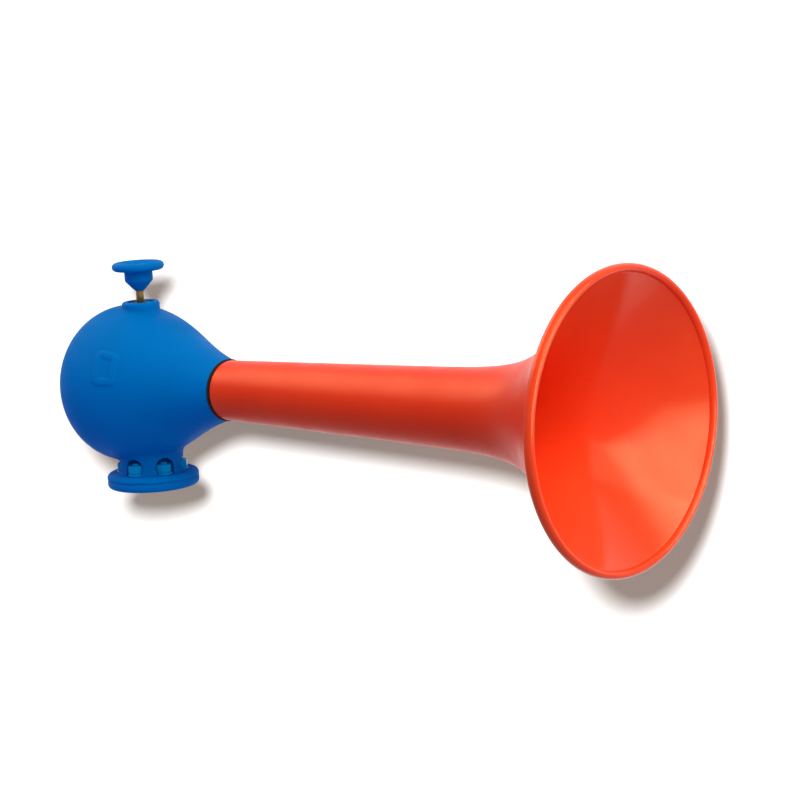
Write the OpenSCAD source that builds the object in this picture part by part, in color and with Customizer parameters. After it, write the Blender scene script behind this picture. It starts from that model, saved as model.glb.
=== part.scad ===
// Compressed-air horn with a hand valve: a flared trumpet on a pear-shaped wind chest.
// Origin: centre of the inlet's underside. +Z runs up the valve, +X runs out of the bell.

/* [Trumpet] */
// Valve axis to the mouth of the bell
horn_l = 458.5; // [420:0.5:520]
// Outer radius of the bell where its beaded edge starts
mouth_r = 101.5; // [85:0.1:110]
// Outer radius of the tube at its root
root_r = 22.4; // [21.5:0.1:24]
// Growth of the tube's radius per millimetre of length
tube_taper = 0.028; // [0.01:0.002:0.04]
// Length of the flare behind the mouth
bell_depth = 67; // [50:1:80]
// Length over which the tube turns into the flare
bell_blend = 19; // [12:1:24]
// Wall of the trumpet
horn_wall = 2; // [1.5:0.1:3]
// Half the height of the beaded edge, away from the horn's axis
bead_r = 3; // [2.4:0.1:4]
// Half the width of the beaded edge, along the horn's axis
bead_l = 4; // [2.8:0.1:5]
// Outer radius of the spigot that enters the wind chest
spigot_r = 17; // [15.5:0.1:18]
// Length of the spigot in the wind chest
spigot_l = 14; // [10:0.5:18]
// Wall of the spigot
spigot_wall = 3; // [2:0.1:4]
// Width of the black seal between the wind chest and the trumpet
seal_t = 2; // [1:0.1:4]

/* [Wind chest] */
// Largest radius of the wind chest
body_r = 60.5; // [57:0.5:64]
// Length of the rounded back, from its largest radius
dome_l = 49.5; // [45:0.5:60]
// Distance from the valve axis back to the largest radius
body_back = 15.5; // [5:0.5:20]
// Length of the full round shoulder before the nose
shoulder_l = 38.5; // [30:0.5:45]
// Length of the straight run of the nose
nose_l = 51; // [40:1:60]
// Angle of the nose to the horn's axis
nose_angle = 16.5; // [12:0.5:20]
// Valve axis to the front end of the nose
joint_x = 88; // [84:0.5:96]
// Outer radius of the nose at its end
joint_r = 22.9; // [22:0.1:26]
// Wall of the wind chest
body_wall = 6; // [5:0.1:7]

/* [Neck and inlet] */
// Outer radius of the neck
neck_r = 24.3; // [23:0.1:27]
// Length of the neck between the flange and the wind chest
neck_l = 7.2; // [5:0.1:16]
// Radius of the fillet between the neck and the flange
neck_foot = 4; // [2:0.1:5]
// Outer radius of the flange and of the inlet plate
flange_r = 35.3; // [33:0.1:42]
// Thickness of the flange
flange_t = 5; // [4:0.1:8]
// Thickness of the inlet plate
plate_t = 6; // [5:0.1:9]
// Thickness of the gasket between them
gasket_t = 0.8; // [0.5:0.1:1.5]
// Radius of the rounded edges of the flange and the plate
edge_r = 3.6; // [1:0.1:3.8]
// Number of studs
stud_count = 6; // [4:1:6]
// Radius of the circle of studs
stud_circle_r = 21; // [20.5:0.1:23]
// Angle from the horn's axis to the first stud
stud_turn = -20; // [-30:1:30]
// Radius of a stud
stud_r = 3.2; // [2.5:0.1:3.4]
// Width of a nut across its flats
nut_flats = 11.3; // [10:0.1:12]
// Height of a nut
nut_h = 6.4; // [5:0.1:7]
// Outer radius of a washer
washer_r = 6.6; // [6:0.1:6.9]
// Thickness of a washer
washer_t = 1.6; // [1:0.1:2]
// Length of stud left above a nut
stud_over = 1.5; // [1:0.1:4]
// Radius of the arched niche cut in the neck for each nut
niche_r = 7.5; // [7:0.1:8]
// Radius of the inlet's pipe thread
inlet_r = 7.475; // [6:0.005:8]
// Depth of the inlet's pipe thread
inlet_l = 14; // [12:0.5:15]
// Radius of the air way above the thread
airway_r = 5; // [4:0.1:5.5]

/* [Valve] */
// Travel of the knob
travel = 6; // [3:0.1:7]
// Radius of the stem
stem_r = 3; // [2.5:0.1:3.2]
// Radius of the stem's reduced ends
stem_end_r = 2.4; // [2:0.1:2.4]
// Radius of the valve's cavity in the neck
cavity_r = 11; // [10.8:0.1:11.5]
// Thickness of the seat
seat_t = 4; // [3:0.1:6]
// Radius of the air way through the seat
seat_way_r = 7.5; // [6.5:0.1:7.8]
// Height of the seat's lip
lip_h = 1; // [0.5:0.1:1.5]
// Radius of the valve's disc
disc_r = 9.5; // [9:0.1:9.8]
// Thickness of the valve's disc
disc_t = 3; // [2:0.1:3.5]
// Thickness of the rubber washer on the disc
valve_washer_t = 2.5; // [1.5:0.1:3]
// Mean radius of the spring
spring_r = 7.4; // [7.2:0.1:8]
// Radius of the spring's wire
spring_wire_r = 0.6; // [0.5:0.05:0.7]
// Number of turns of the spring
spring_turns = 4.5; // [3.5:0.5:5]

/* [Gland and knob] */
// Outer radius of the boss on top of the wind chest
boss_r = 14.5; // [13.5:0.1:16]
// Height of the boss above the wind chest
boss_h = 3.5; // [2.5:0.1:6.5]
// Radius of the recess in the boss
recess_r = 10.8; // [10.2:0.1:11]
// Depth of the recess in the boss
recess_d = 6; // [5:0.1:8]
// Radius of the bore below the recess
gland_r = 8; // [7:0.1:8.2]
// Width of the gland nut across its flats
gland_flats = 17; // [16:0.5:17]
// Length of the stem's guide
guide_l = 12; // [8:0.5:16]
// Length of the packing
packing_l = 5; // [3:0.5:7]
// Length of the gland nut below the recess
gland_l = 6.5; // [5:0.5:8]
// Radius of the knob
knob_r = 20; // [16:0.1:24]
// Thickness of the knob's rim
knob_t = 6.4; // [5:0.1:8]
// Depth of the hollow in the knob's top
knob_dish = 3; // [1:0.1:3.5]
// Radius of the knob's hub
hub_r = 10.8; // [9:0.1:12]
// Length of the straight part of the hub
hub_l = 7.9; // [7:0.1:10]
// Length of the hub's tapered foot
foot_l = 7.6; // [5:0.1:8]

/* [Reed] */
// Length of the reed's block
block_l = 12.5; // [10:0.5:16]
// Thickness of the gasket between the block and the trumpet
reed_gasket_t = 1.5; // [1:0.1:2]
// Outer radius of the reed's pipe
pipe_r = 9.5; // [9:0.1:10]
// Length of the reed's pipe behind the block
pipe_l = 42; // [36:0.5:44]
// Radius of the reed pipe's bore
pipe_bore_r = 4.5; // [3.5:0.1:4.6]
// Height of the reed's face above the horn's axis
face_h = 5.5; // [5:0.1:6]
// Half the width of the tongue
tongue_w = 7; // [6.8:0.1:7.2]
// Thickness of the tongue
tongue_t = 0.6; // [0.4:0.1:1]
// Length of the tongue's clamp
clamp_l = 10; // [7:0.5:12]
// Thickness of the tongue's clamp
clamp_t = 3; // [2:0.1:3]

/* [Hidden] */
$fn = 96;

// Finishes
blue_paint = [0.02, 0.38, 0.68];
red_paint = [0.87, 0.20, 0.11];
brass = [0.78, 0.62, 0.28];
bronze = [0.70, 0.50, 0.26];
steel = [0.66, 0.67, 0.69];
black_rubber = [0.05, 0.05, 0.06];
gasket_fibre = [0.24, 0.20, 0.17];

// Clearances
seat_gap = 0.1;   // closed valve washer to the seat's lip
fit_gap = 0.03;   // pieces seated in a bore
run_gap = 0.05;   // stem in its guides
loose_gap = 0.4;  // holes that a piece passes through
edge_gap = 0.3;   // gasket's edge inside the flange's
cut = 1;          // how far a cut runs past a face

// Levels along the valve's axis
stud_z = 1;
flange_z = plate_t + gasket_t;
flange_top = flange_z + flange_t;
axis_z = flange_top + neck_l + body_r;
spot_z = flange_top - 0.4;
nut_z = spot_z + washer_t;
stud_top = nut_z + nut_h + stud_over;
niche_top = stud_top + niche_r / 2;
spigot_cap = 4;
spigot_top = inlet_l + spigot_cap;
spring_solid = 2 * spring_wire_r * (spring_turns + 1);
spring_spare = 2.8;
disc_z = spigot_top + spring_solid + spring_spare + travel;
disc_top = disc_z + disc_t;
washer_top = disc_top + valve_washer_t;
lip_z = washer_top + seat_gap;
seat_z = lip_z + lip_h;
disc_hub_h = 1.2;
disc_hub_r = spring_r - spring_wire_r - loose_gap;
lock_nut_h = 4;
lock_nut_flats = 8;
lock_nut_z = disc_z - disc_hub_h - lock_nut_h;
stem_tip_z = lock_nut_z - 1.2;
ledge_t = 2.5;
ledge_r = seat_way_r + 1;
tower_r = cavity_r + 4;
tower_top = seat_z + seat_t + ledge_t;
pad_r = stud_circle_r + niche_r;
pad_top = niche_top + 4;
boss_top = axis_z + body_r + boss_h;
recess_z = boss_top - recess_d;
packing_top = recess_z - gland_l;
guide_top = packing_top - packing_l;
guide_z = guide_top - guide_l;
gland_head_h = recess_d - 1.4;
wiper_h = 1.2;
wiper_r = 6;
stop_gap = 2.3;
foot_z = boss_top + travel + stop_gap;
hub_z = foot_z + foot_l;
hub_top = hub_z + hub_l;
knob_z = hub_top + knob_t / 2;
stem_top = hub_top - 1;

// Places along the horn's axis
shoulder_x = joint_x + seal_t;
shoulder_round = 1.5;
spigot_x = joint_x - spigot_l;
spigot_bore_r = spigot_r - spigot_wall;
block_front = spigot_x - reed_gasket_t;
ledge_x = block_front - block_l;
pipe_x = ledge_x - pipe_l;
pipe_seat_l = 6;
clamp_x = ledge_x - clamp_l - 2;
mouth_x = horn_l - bead_l;
bell_x = horn_l - bell_depth;

// Radius and slope of the trumpet's outside: a slow cone that turns into the bell's steep one
function softplus(u) = ln(1 + exp(u));
flare_gain = (mouth_r - root_r - tube_taper * (mouth_x - shoulder_x))
  / (bell_blend * softplus((mouth_x - bell_x) / bell_blend));
function horn_r(x) = root_r + tube_taper * (x - shoulder_x)
  + flare_gain * bell_blend * softplus((x - bell_x) / bell_blend);
function horn_slope(x) = tube_taper + flare_gain / (1 + exp((bell_x - x) / bell_blend));
function horn_in_r(x) = horn_r(x) - horn_wall * sqrt(1 + pow(horn_slope(x), 2));

// Stations along the trumpet, close together in the flare
tube_steps = 6;
bell_steps = 20;
tube_start = shoulder_x + shoulder_round;
flare_start = bell_x - 3 * bell_blend;
stations = concat(
  [for (i = [0:tube_steps - 1]) tube_start + (flare_start - tube_start) * i / tube_steps],
  [for (i = [0:bell_steps]) flare_start + (mouth_x - flare_start) * i / bell_steps]
);

// The wind chest's outline: a quarter ellipse at the back and a curve down to the nose
dome_steps = 12;
nose_steps = 16;
nose_curve = [
  [body_r, -body_back],
  [body_r, shoulder_l - body_back],
  [joint_r + nose_l * sin(nose_angle), joint_x - nose_l * cos(nose_angle)],
  [joint_r, joint_x]
];
function curve_at(p, t) = pow(1 - t, 3) * p[0] + 3 * t * pow(1 - t, 2) * p[1]
  + 3 * t * t * (1 - t) * p[2] + pow(t, 3) * p[3];
function curve_run(p, t) = pow(1 - t, 2) * (p[1] - p[0]) + 2 * t * (1 - t) * (p[2] - p[1])
  + t * t * (p[3] - p[2]);
// A point of the curve moved in by d along its normal
function curve_in(p, t, d) = let (run = curve_run(p, t), inward = [-run[1], run[0]] / norm(run))
  curve_at(p, t) + d * inward;
function dome(r, l) = [for (i = [0:dome_steps])
  let (t = 90 * i / dome_steps) [r * sin(t), -body_back - l * cos(t)]];
// The chest's inside stops short of the ledge that the reed's block sits on
chest_end = 0.68;

// Turns a shape that stands on the origin to lie along the horn's axis
module along_horn() {
  translate([0, 0, axis_z])
    rotate([0, 90, 0])
      children();
}

module disc_between(z0, z1, r) {
  translate([0, 0, z0])
    cylinder(h = z1 - z0, r = r);
}

module ring_between(z0, z1, r_in, r_out) {
  difference() {
    disc_between(z0, z1, r_out);
    disc_between(z0 - cut, z1 + cut, r_in);
  }
}

module hexagon_between(z0, z1, flats) {
  translate([0, 0, z0])
    cylinder(h = z1 - z0, r = flats / sqrt(3), $fn = 6);
}

// One child at each stud
module at_studs() {
  for (i = [0:stud_count - 1])
    rotate([0, 0, stud_turn + 360 * i / stud_count])
      translate([stud_circle_r, 0, 0])
        children();
}

// A disc whose rim is rounded on one side
module rounded_disc(r, t, round_r) {
  rotate_extrude()
    polygon(concat(
      [[0, 0], [r, 0]],
      [for (a = [0:15:90]) [r - round_r + round_r * cos(a), t - round_r + round_r * sin(a)]],
      [[0, t]]
    ));
}

// The wind chest as a solid, moved in by inset all round and ended at a share of the nose
module chest(inset, reach) {
  end_point = curve_in(nose_curve, reach, inset);
  along_horn()
    rotate_extrude()
      polygon(concat(
        dome(body_r - inset, dome_l - inset),
        [for (i = [1:nose_steps]) curve_in(nose_curve, reach * i / nose_steps, inset)],
        [[0, end_point[1]]]
      ));
}

// Neck with the fillets that run out into the flange and the wind chest
module neck() {
  fillet = 3.5;
  top = axis_z - body_r + 4 * fillet;
  rotate_extrude()
    polygon(concat(
      [[0, flange_z], [neck_r + neck_foot * (1 - sin(15)), flange_z]],
      [for (a = [15:15:90]) [neck_r + neck_foot * (1 - sin(a)), flange_top + neck_foot * (1 - cos(a))]],
      [for (a = [0:15:75]) [neck_r + fillet * (1 - cos(a)), axis_z - body_r + fillet * sin(a)]],
      [[neck_r + fillet, top], [0, top]]
    ));
}

// Boss with a rounded rim and a foot that runs out into the wind chest
module boss() {
  rim = 2.2;
  foot = 5;
  foot_top = boss_top - recess_d / 2 - rim;
  rotate_extrude()
    polygon(concat(
      [[0, axis_z + body_r / 2], [boss_r + foot, axis_z + body_r / 2]],
      [for (a = [75:-15:0]) [boss_r + foot * (1 - cos(a)), foot_top - foot * sin(a)]],
      [for (a = [0:15:90]) [boss_r - rim + rim * cos(a), boss_top - rim + rim * sin(a)]],
      [[0, boss_top]]
    ));
}

// Arched niche beside the neck, open to the outside
module niche() {
  arch_z = niche_top - niche_r;
  rotate_extrude()
    polygon(concat(
      [[0, spot_z], [niche_r, spot_z]],
      [for (a = [0:15:90]) [niche_r * cos(a), arch_z + niche_r * sin(a)]]
    ));
}

// Cast wind chest: the chest itself, its neck and flange, and the boss for the gland
module housing() {
  color(blue_paint)
    difference() {
      union() {
        difference() {
          union() {
            chest(0, 1);
            neck();
            boss();
          }
          chest(body_wall, chest_end);
        }
        translate([0, 0, flange_z])
          rounded_disc(flange_r, flange_t, edge_r);
        disc_between(flange_top, tower_top, tower_r);
        disc_between(guide_z - ledge_t, recess_z - cut, gland_r + 4);
        intersection() {
          disc_between(flange_top, pad_top, pad_r);
          chest(body_wall / 2, chest_end);
        }
      }
      // Valve cavity, with the ledge that stops the seat
      disc_between(flange_z - cut, seat_z + seat_t, cavity_r);
      disc_between(seat_z, tower_top + cut, ledge_r);
      // Gland bore, with the ledge that carries the guide
      disc_between(guide_z - ledge_t - cut, boss_top, stem_r + loose_gap);
      disc_between(guide_z, boss_top, gland_r);
      disc_between(recess_z, boss_top + cut, recess_r);
      // Front bore for the reed and the trumpet, with the ledge that carries the reed's block
      along_horn() {
        disc_between(ledge_x, joint_x + cut, spigot_r);
        disc_between(ledge_x - 2 * block_l, joint_x, spigot_bore_r);
      }
      at_studs() {
        niche();
        disc_between(flange_z - cut, flange_top + cut, stud_r + loose_gap);
      }
    }
}

// Spun trumpet with a beaded edge, and the spigot that it is fixed by
module trumpet() {
  throat_l = 10;
  color(red_paint)
    along_horn() {
      rotate_extrude()
        polygon(concat(
          [[spigot_bore_r, spigot_x], [spigot_r - fit_gap, spigot_x], [spigot_r - fit_gap, shoulder_x]],
          [for (a = [0:30:90]) [root_r - shoulder_round * (1 - sin(a)), tube_start - shoulder_round * cos(a)]],
          [for (i = [1:len(stations) - 1]) [horn_r(stations[i]), stations[i]]],
          [for (i = [len(stations) - 1:-1:1]) [horn_in_r(stations[i]), stations[i]]],
          [[horn_in_r(tube_start + throat_l), tube_start + throat_l], [spigot_bore_r, tube_start]]
        ));
      rotate_extrude()
        polygon([for (a = [0:15:345]) [mouth_r + bead_r * cos(a), mouth_x + bead_l * sin(a)]]);
    }
}

// Seal between the end of the nose and the trumpet's shoulder
module horn_seal() {
  color(black_rubber)
    along_horn()
      ring_between(joint_x, shoulder_x, spigot_r, joint_r);
}

// Block that carries the reed, with the throat that opens towards the trumpet
module reed_block() {
  color(brass)
    along_horn()
      rotate_extrude()
        polygon([
          [pipe_r + fit_gap, ledge_x],
          [spigot_r - fit_gap, ledge_x],
          [spigot_r - fit_gap, block_front],
          [spigot_bore_r, block_front],
          [pipe_bore_r, ledge_x + pipe_seat_l],
          [pipe_r + fit_gap, ledge_x + pipe_seat_l]
        ]);
}

module reed_gasket() {
  color(gasket_fibre)
    along_horn()
      ring_between(block_front, spigot_x, spigot_bore_r, spigot_r - fit_gap);
}

// Closed pipe with a flat face, and the slot that the tongue beats on
module reed_pipe() {
  end_wall = 2.5;
  slot_w = pipe_bore_r + 1.5;
  slot_l = clamp_x - pipe_x - 2 * end_wall;
  color(brass)
    translate([0, 0, axis_z])
      difference() {
        rotate([0, 90, 0])
          disc_between(pipe_x, ledge_x + pipe_seat_l, pipe_r);
        rotate([0, 90, 0])
          disc_between(pipe_x + end_wall, ledge_x + pipe_seat_l + cut, pipe_bore_r);
        translate([pipe_x - cut, -pipe_r, face_h])
          cube([pipe_l + cut, 2 * pipe_r, pipe_r]);
        translate([pipe_x + end_wall, -slot_w / 2, 0])
          cube([slot_l, slot_w, pipe_r]);
        at_clamp_screws()
          disc_between(face_h - screw_l, face_h + cut, screw_r);
      }
}

// Screws of the tongue's clamp
screw_r = 1.2;
screw_l = 2.4;
screw_head_r = 1.9;
screw_head_h = 1.6;
screw_y = tongue_w - screw_head_r;
module at_clamp_screws() {
  for (side = [-1, 1])
    translate([clamp_x + clamp_l / 2, side * screw_y, 0])
      children();
}

// Tongue with a rounded tip, on the pipe's face
module reed_tongue() {
  tip_x = pipe_x + tongue_w + 1;
  color(bronze)
    translate([0, 0, axis_z + face_h])
      difference() {
        union() {
          translate([tip_x, 0, 0])
            cylinder(h = tongue_t, r = tongue_w);
          translate([tip_x, -tongue_w, 0])
            cube([clamp_x + clamp_l - tip_x, 2 * tongue_w, tongue_t]);
        }
        at_clamp_screws()
          disc_between(-cut, tongue_t + cut, screw_r + fit_gap);
      }
}

module reed_clamp() {
  color(steel)
    translate([0, 0, axis_z + face_h + tongue_t])
      difference() {
        translate([clamp_x, -tongue_w, 0])
          cube([clamp_l, 2 * tongue_w, clamp_t]);
        at_clamp_screws()
          disc_between(-cut, clamp_t + cut, screw_r + fit_gap);
      }
}

module reed_screws() {
  head_z = face_h + tongue_t + clamp_t;
  color(steel)
    translate([0, 0, axis_z])
      at_clamp_screws() {
        disc_between(face_h - screw_l, head_z, screw_r);
        disc_between(head_z, head_z + screw_head_h, screw_head_r);
      }
}

// Plate under the flange: threaded inlet, air way, and a spigot that carries the spring
module inlet_plate() {
  color(blue_paint)
    difference() {
      union() {
        translate([0, 0, plate_t])
          mirror([0, 0, 1])
            rounded_disc(flange_r, plate_t, edge_r);
        disc_between(0, spigot_top, cavity_r - fit_gap);
      }
      disc_between(-cut, inlet_l, inlet_r);
      disc_between(inlet_l, spigot_top + cut, airway_r);
      at_studs()
        disc_between(stud_z, plate_t + cut, stud_r + fit_gap);
    }
}

module flange_gasket() {
  color(gasket_fibre)
    difference() {
      ring_between(plate_t, flange_z, cavity_r, flange_r - edge_gap);
      at_studs()
        disc_between(plate_t - cut, flange_z + cut, stud_r + loose_gap);
    }
}

module flange_studs() {
  chamfer = 0.6;
  color(blue_paint)
    at_studs() {
      disc_between(stud_z, stud_top - chamfer, stud_r);
      translate([0, 0, stud_top - chamfer])
        cylinder(h = chamfer, r1 = stud_r, r2 = stud_r - chamfer);
    }
}

module flange_washers() {
  color(blue_paint)
    at_studs()
      ring_between(spot_z, nut_z, stud_r + loose_gap, washer_r);
}

// Nuts, each with a flat to the outside
module flange_nuts() {
  color(blue_paint)
    at_studs()
      difference() {
        rotate([0, 0, 30])
          hexagon_between(nut_z, nut_z + nut_h, nut_flats);
        disc_between(nut_z - cut, nut_z + nut_h + cut, stud_r + fit_gap);
      }
}

// Seat with a lip, and a three-armed guide for the stem
module valve_seat() {
  guide_r = stem_r + run_gap + 1.5;
  arm_w = 2;
  arm_h = seat_t - 1;
  lip_w = 1.2;
  color(brass) {
    ring_between(seat_z, seat_z + seat_t, seat_way_r, cavity_r - fit_gap);
    ring_between(lip_z, seat_z, seat_way_r, seat_way_r + lip_w);
    difference() {
      union() {
        disc_between(seat_z + seat_t - arm_h, seat_z + seat_t, guide_r);
        for (a = [0:120:240])
          rotate([0, 0, a + 60])
            translate([0, -arm_w / 2, seat_z + seat_t - arm_h])
              cube([seat_way_r + lip_w, arm_w, arm_h]);
      }
      disc_between(lip_z, tower_top, stem_r + run_gap);
    }
  }
}

// Stem: full size in its guides, reduced through the disc below and in the knob above
module valve_stem() {
  color(brass) {
    disc_between(stem_tip_z, washer_top, stem_end_r);
    disc_between(washer_top, foot_z, stem_r);
    disc_between(foot_z, stem_top, stem_end_r);
  }
}

module valve_washer() {
  color(black_rubber)
    ring_between(disc_top, washer_top, stem_end_r + fit_gap, disc_r - 0.3);
}

module valve_disc() {
  color(brass) {
    ring_between(disc_z, disc_top, stem_end_r + fit_gap, disc_r);
    ring_between(disc_z - disc_hub_h, disc_z, stem_end_r + fit_gap, disc_hub_r);
  }
}

module valve_lock_nut() {
  color(brass)
    difference() {
      hexagon_between(lock_nut_z, lock_nut_z + lock_nut_h, lock_nut_flats);
      disc_between(lock_nut_z - cut, lock_nut_z + lock_nut_h + cut, stem_end_r + fit_gap);
    }
}

// Coil from the inlet's spigot to the disc, as one tube of triangles
spring_sides = 8;
spring_rings_per_turn = 16;
module return_spring() {
  rings = spring_turns * spring_rings_per_turn;
  low = spigot_top + spring_wire_r + fit_gap;
  high = disc_z - spring_wire_r - fit_gap;
  lean = atan((high - low) / (360 * spring_turns) * 180 / PI / spring_r);
  points = [for (i = [0:rings], k = [0:spring_sides - 1])
    let (turn = 360 * spring_turns * i / rings, side = 360 * k / spring_sides)
    let (out = spring_r + spring_wire_r * cos(side), up = spring_wire_r * sin(side))
    [
      out * cos(turn) + up * sin(lean) * sin(turn),
      out * sin(turn) - up * sin(lean) * cos(turn),
      low + (high - low) * i / rings + up * cos(lean)
    ]];
  last = rings * spring_sides;
  sides = [for (i = [0:rings - 1], k = [0:spring_sides - 1])
    let (a = i * spring_sides + k, b = i * spring_sides + (k + 1) % spring_sides)
    each [[a, a + spring_sides, b], [b, a + spring_sides, b + spring_sides]]];
  caps = [for (k = [1:spring_sides - 2])
    each [[0, k, k + 1], [last, last + k + 1, last + k]]];
  echo(spring_gap = (high - low) / spring_turns * cos(lean) - 2 * spring_wire_r);
  color(steel)
    polyhedron(points = points, faces = concat(sides, caps));
}

module stem_guide() {
  color(brass)
    ring_between(guide_z, guide_top, stem_r + run_gap, gland_r - fit_gap);
}

// Packing: two rings squeezed by the gland nut
module stem_packing() {
  ring_h = packing_l / 2;
  color(gasket_fibre)
    for (i = [0, 1])
      ring_between(guide_top + i * ring_h, guide_top + (i + 1) * ring_h - fit_gap,
        stem_r + run_gap, gland_r - fit_gap);
}

module gland_nut() {
  color(bronze)
    difference() {
      union() {
        disc_between(packing_top, recess_z, gland_r - fit_gap);
        hexagon_between(recess_z, recess_z + gland_head_h, gland_flats);
      }
      disc_between(packing_top - cut, recess_z + gland_head_h + cut, stem_r + loose_gap);
    }
}

module stem_wiper() {
  base = recess_z + gland_head_h;
  color(black_rubber)
    ring_between(base, base + wiper_h, stem_r + run_gap, wiper_r);
}

// Turned knob: tapered foot, hub, and a dished palm rest with a rounded rim
module knob() {
  rim = knob_t / 2;
  lip = 1;
  color(blue_paint)
    difference() {
      rotate_extrude()
        polygon(concat(
          [[0, foot_z], [stem_r + 0.6, foot_z], [hub_r, hub_z], [hub_r, hub_top - 1]],
          [for (a = [-75:15:90]) [knob_r - rim + rim * cos(a), knob_z + rim * sin(a)]],
          [[knob_r - rim - lip, knob_z + rim - 0.3], [hub_r, knob_z + rim - knob_dish]],
          [[0, knob_z + rim - knob_dish]]
        ));
      disc_between(foot_z - cut, stem_top, stem_end_r + fit_gap);
    }
}

housing();
trumpet();
horn_seal();
reed_block();
reed_gasket();
reed_pipe();
reed_tongue();
reed_clamp();
reed_screws();
inlet_plate();
flange_gasket();
flange_studs();
flange_washers();
flange_nuts();
valve_seat();
valve_stem();
valve_washer();
valve_disc();
valve_lock_nut();
return_spring();
stem_guide();
stem_packing();
gland_nut();
stem_wiper();
knob();
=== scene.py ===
import math
import bpy
import bmesh
import numpy as np
from mathutils import Matrix, Vector


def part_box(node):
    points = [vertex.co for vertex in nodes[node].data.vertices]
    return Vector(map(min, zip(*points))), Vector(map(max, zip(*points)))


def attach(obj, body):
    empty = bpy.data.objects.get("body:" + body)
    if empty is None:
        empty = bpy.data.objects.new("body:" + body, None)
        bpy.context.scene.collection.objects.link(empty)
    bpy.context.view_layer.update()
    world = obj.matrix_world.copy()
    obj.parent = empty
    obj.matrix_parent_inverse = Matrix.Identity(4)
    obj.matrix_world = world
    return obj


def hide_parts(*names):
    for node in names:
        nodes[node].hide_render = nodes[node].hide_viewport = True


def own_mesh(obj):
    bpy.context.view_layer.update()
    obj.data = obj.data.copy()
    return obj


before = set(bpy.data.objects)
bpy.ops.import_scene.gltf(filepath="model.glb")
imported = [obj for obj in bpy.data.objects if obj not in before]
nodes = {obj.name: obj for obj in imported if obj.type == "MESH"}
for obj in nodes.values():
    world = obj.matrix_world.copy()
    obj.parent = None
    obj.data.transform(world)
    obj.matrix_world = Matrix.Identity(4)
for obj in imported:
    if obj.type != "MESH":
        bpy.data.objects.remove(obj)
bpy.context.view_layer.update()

# Wind chest: one hollow casting, with the round chest, the nose for the trumpet, the boss for the
# gland and the neck with its flange. Its skin is one solid whose corners run into each other in
# fillets, as cast metal does, and is then painted. Sizes in this section are millimetres.


def span(node, axis, unit=1.0):
    """Lowest and highest place of a CAD node along x, y or z, in metres unless a unit is given."""
    low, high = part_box(node)
    return low["xyz".index(axis)] * unit, high["xyz".index(axis)] * unit


AXIS_Z = sum(span("trumpet", "z", 1000)) / 2
(BACK_X, JOINT_X), BODY_R = span("housing", "x", 1000), span("housing", "y", 1000)[1]
FLANGE_Z, BOSS_TOP = span("housing", "z", 1000)
BODY_BACK, JOINT_R, BODY_WALL = 15.5, span("horn_seal", "y", 1000)[1], 6.0
DOME_L, SHOULDER_L, NOSE_L, NOSE_LEAN = -BACK_X - BODY_BACK, 38.5, 51.0, math.radians(16.5)
DOME_STEPS, NOSE_STEPS = 50, 70


def chest_outline():
    """The chest's places along its axis and its radius there: a rounded back and a long nose."""
    turn = np.linspace(0, math.pi / 2, DOME_STEPS)
    dome = np.stack([-BODY_BACK - DOME_L * np.cos(turn), BODY_R * np.sin(turn)], 1)
    pull = np.array([
        [-BODY_BACK, BODY_R], [SHOULDER_L - BODY_BACK, BODY_R],
        [JOINT_X - NOSE_L * math.cos(NOSE_LEAN), JOINT_R + NOSE_L * math.sin(NOSE_LEAN)],
        [JOINT_X, JOINT_R]])
    t = np.linspace(0, 1, NOSE_STEPS)[1:, None]
    nose = ((1 - t) ** 3 * pull[0] + 3 * t * (1 - t) ** 2 * pull[1]
            + 3 * t * t * (1 - t) * pull[2] + t ** 3 * pull[3])
    return np.concatenate([dome, nose])


def distance_table(line, low, high, step):
    """Signed distance to the chest's outline, over a grid of places along and away from its axis."""
    along = np.arange(low[0], high[0] + step, step)
    away = np.arange(low[1], high[1] + step, step)
    closed = np.concatenate([line, [[line[-1, 0], 0.0]]])
    a, b = closed[:-1], closed[1:]
    best = np.full((len(along), len(away)), 1e9)
    for p, q in zip(a, b):
        d = q - p
        u, v = along[:, None] - p[0], away[None, :] - p[1]
        t = np.clip((u * d[0] + v * d[1]) / (d @ d), 0, 1)
        best = np.minimum(best, (u - t * d[0]) ** 2 + (v - t * d[1]) ** 2)
    reach = np.interp(along, line[:, 0], line[:, 1], left=-1, right=-1)
    return np.where(away[None, :] < reach[:, None], -1, 1) * np.sqrt(best)


CHEST_LOW, CHEST_HIGH, CHEST_STEP = (-80.0, 0.0), (110.0, 110.0), 0.5
chest_table = distance_table(chest_outline(), CHEST_LOW, CHEST_HIGH, CHEST_STEP)


def chest_distance(x, away):
    """The table's distance at any place, between its four nearest entries."""
    i = np.clip((x - CHEST_LOW[0]) / CHEST_STEP, 0, chest_table.shape[0] - 1.001)
    j = np.clip((away - CHEST_LOW[1]) / CHEST_STEP, 0, chest_table.shape[1] - 1.001)
    i0, j0 = i.astype(int), j.astype(int)
    i, j = i - i0, j - j0
    t = chest_table
    return ((1 - i) * (1 - j) * t[i0, j0] + i * (1 - j) * t[i0 + 1, j0]
            + (1 - i) * j * t[i0, j0 + 1] + i * j * t[i0 + 1, j0 + 1])


def joined(a, b, fillet):
    """Both solids, with a fillet of that radius in the corner between them."""
    u, v = np.maximum(fillet - a, 0), np.maximum(fillet - b, 0)
    return np.maximum(fillet, np.minimum(a, b)) - np.sqrt(u * u + v * v)


def shared(a, b, edge):
    """What lies in both solids, with its edge rounded to that radius."""
    u, v = np.maximum(edge + a, 0), np.maximum(edge + b, 0)
    return np.minimum(-edge, np.maximum(a, b)) + np.sqrt(u * u + v * v)


def less(a, b, edge):
    """The first solid without the second, with that edge."""
    return shared(a, -b, edge)


def up_to(away, radius, place, end):
    """Rod of that radius that stops where the place passes the end."""
    return np.maximum(away - radius, place - end)


def onward(away, radius, place, start):
    """Rod of that radius that runs on from the start."""
    return np.maximum(away - radius, start - place)


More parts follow.
